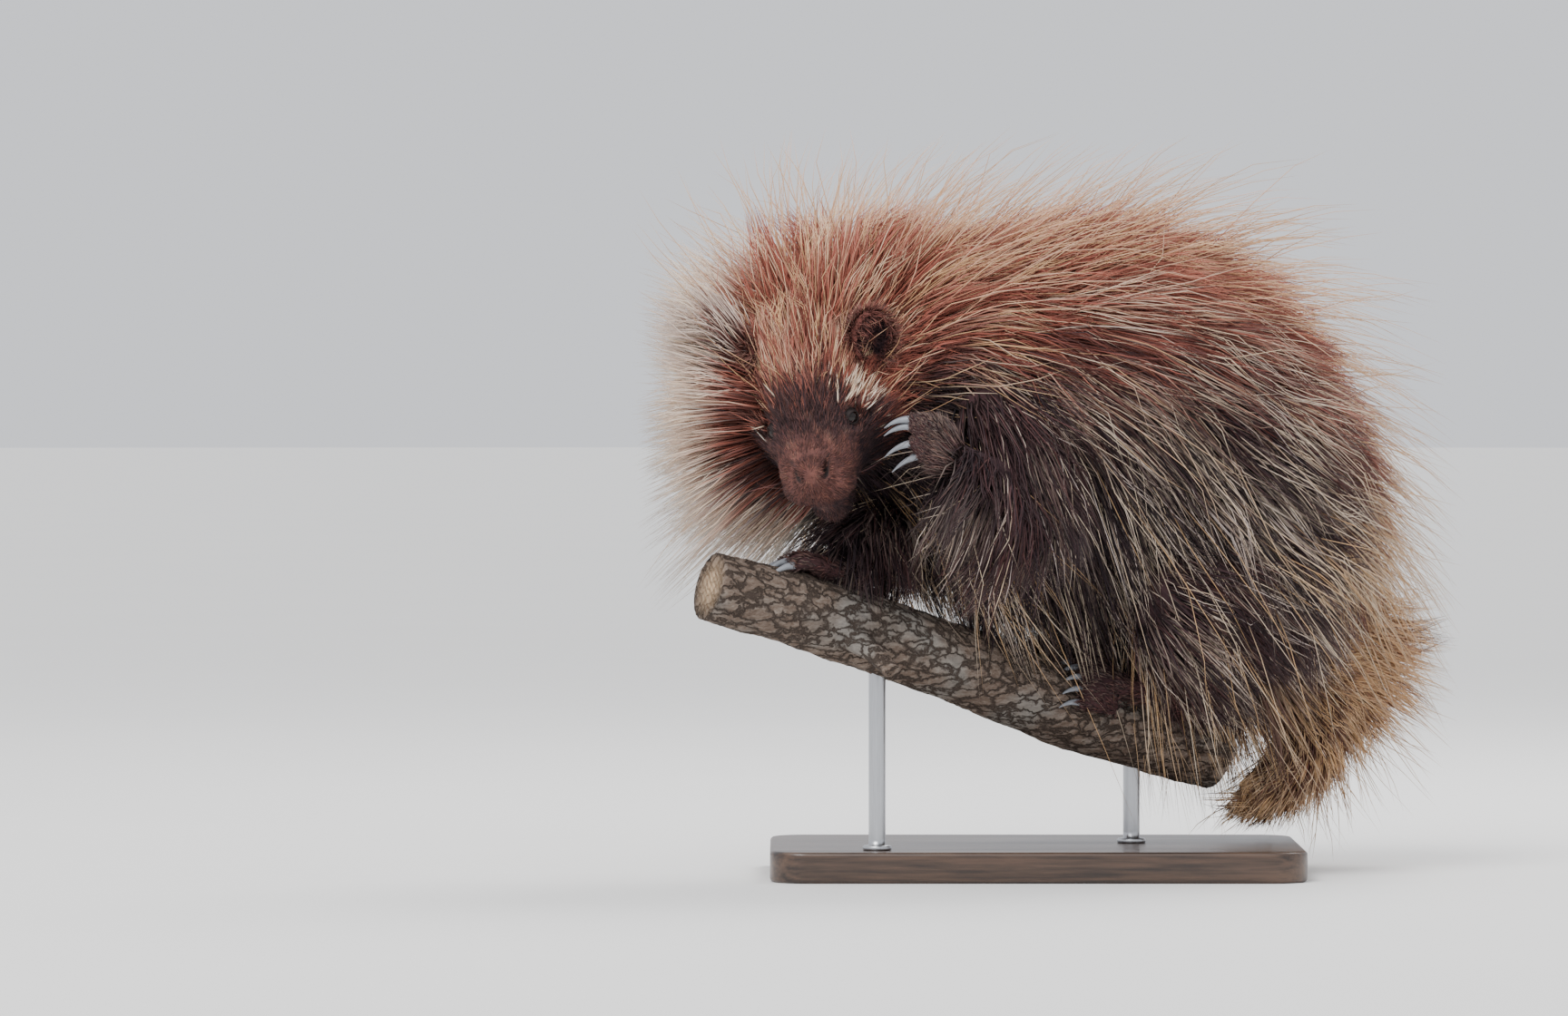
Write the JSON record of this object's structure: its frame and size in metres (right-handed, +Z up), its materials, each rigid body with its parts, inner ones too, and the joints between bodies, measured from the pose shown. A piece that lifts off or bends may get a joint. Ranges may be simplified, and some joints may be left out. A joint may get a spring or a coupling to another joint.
{
  "type": "porcupine figure",
  "caption": "Life-size porcupine in long winter coat, hunched on a cut branch with its head turned aside, on a plain display stand.",
  "frame": {"origin": "centre of the whole model's outline, at the underside of the stand's base", "axes": "+Z up, the animal's body points towards -X and 28 degrees towards -Y, its face looks towards -Y"},
  "size_m": [0.5706, 0.409, 0.5209],
  "materials": {
    "coat": "long coarse hair over dark underfur, with pale tips",
    "face": "short dull fur",
    "paws": "dull, with pale grey claws",
    "eyes": "wet gloss",
    "bark": "rough bark",
    "base": "dark satin",
    "rods": "satin"
  },
  "bodies": {
    "root": {"torso": "coat", "neck": "coat", "head": "face", "ear_left": "face", "ear_right": "face", "eye_left": "eyes", "eye_right": "eyes", "upper_arm_left": "coat", "upper_arm_right": "coat", "forearm_left": "coat", "forearm_right": "coat", "hand_left": "paws", "hand_right": "paws", "thigh_left": "coat", "thigh_right": "coat", "shank_left": "coat", "shank_right": "coat", "foot_left": "paws", "foot_right": "paws", "tail_base": "coat", "tail_middle": "coat", "tail_tip": "coat", "perch_branch": "bark", "stand_rod_front": "rods", "stand_rod_rear": "rods", "stand_base": "base"}
  },
  "joints": []
}
